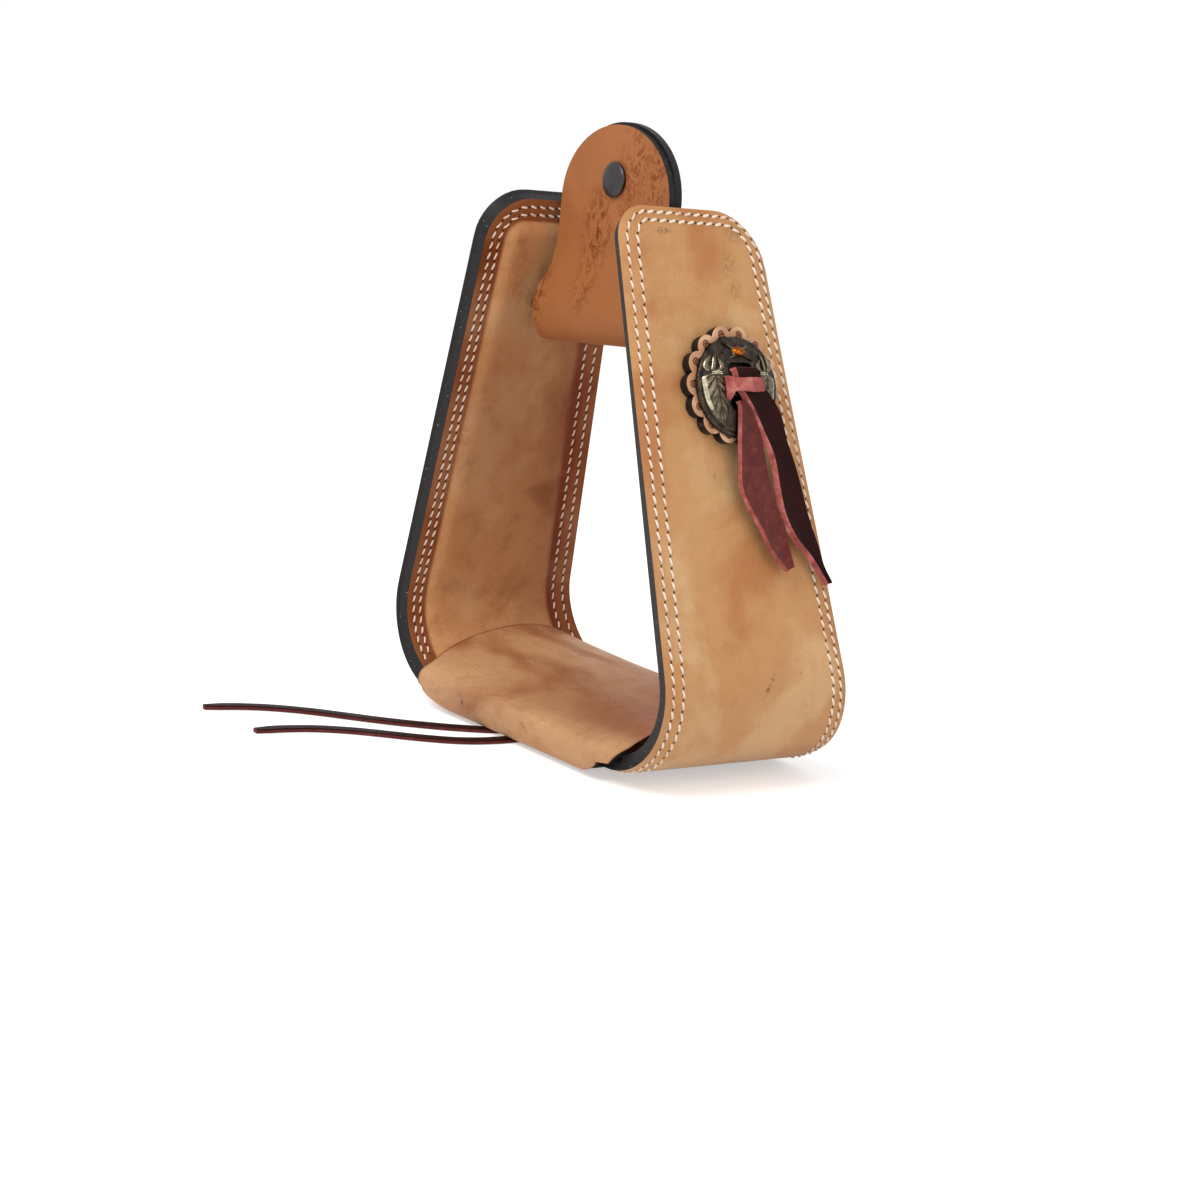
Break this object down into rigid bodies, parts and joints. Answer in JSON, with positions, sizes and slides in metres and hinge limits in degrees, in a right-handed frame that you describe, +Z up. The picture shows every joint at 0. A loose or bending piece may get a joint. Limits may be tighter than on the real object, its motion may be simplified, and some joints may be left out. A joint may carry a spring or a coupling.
{
  "type": "slanted stirrup",
  "caption": "Leather-covered slanted western stirrup with a padded laced tread, a swinging neck tab on a roller and a concho with tie strings on its outer leg.",
  "frame": {"origin": "Bottom centre of the stirrup's box without its two free lace tails: midway across the width and the depth, at the floor under the laced tread.", "axes": "+Z up from the tread to the neck; +X towards the outer leg, the one with the concho; +Y is the way the boot goes in, from the nearly straight front edge to the flared back edge."},
  "size_m": [0.188, 0.1904, 0.244],
  "materials": {
    "core": "plain bent strip",
    "cover_leather": "golden tan vegetable-tanned leather, smooth grain",
    "liner_leather": "red-brown leather, smooth grain",
    "pad_foam": "felted padding",
    "wrap_leather": "brown leather, smooth grain",
    "lace_leather": "burgundy latigo leather",
    "tie_flesh": "flesh side of burgundy latigo leather",
    "bar_steel": "plain steel",
    "roller_plastic": "natural nylon",
    "concho_metal": "antiqued dark metal",
    "concho_silver": "worn silver plate",
    "concho_copper": "copper plate",
    "tab_leather": "orange-brown leather, scarred",
    "rivet_metal": "dark burnished cap"
  },
  "bodies": {
    "frame": {"core_bow": "core", "outer_cover": "cover_leather", "inner_liner": "liner_leather", "tread_pad": "pad_foam", "tread_wrap": "wrap_leather", "lace_bar_1": "lace_leather", "lace_bar_2": "lace_leather", "lace_bar_3": "lace_leather", "lace_bar_4": "lace_leather", "lace_bar_5": "lace_leather", "lace_knot": "lace_leather", "crossbar": "bar_steel", "concho_rosette": "liner_leather", "concho_disc": "concho_metal", "concho_feather_front": "concho_silver", "concho_feather_back": "concho_silver", "concho_star": "concho_silver", "concho_bead": "concho_copper", "concho_tie_band": "tie_flesh", "concho_tail_long": "lace_leather", "concho_tail_short": "tie_flesh", "lace_tail_front": "lace_leather", "lace_tail_side": "lace_leather"},
    "roller": {"roller_sleeve": "roller_plastic"},
    "tab": {"hanger_tab": "tab_leather", "rivet_cap": "rivet_metal", "rivet_base": "rivet_metal"}
  },
  "joints": [
    {"name": "roller_spin", "type": "hinge", "parent": "frame", "child": "roller", "pos_m": [0, -0.0173, 0.1712], "axis": [1, 0, 0], "continuous": true},
    {"name": "tab_swing", "type": "hinge", "parent": "frame", "child": "tab", "pos_m": [0, -0.0173, 0.1712], "axis": [1, 0, 0], "continuous": true}
  ]
}
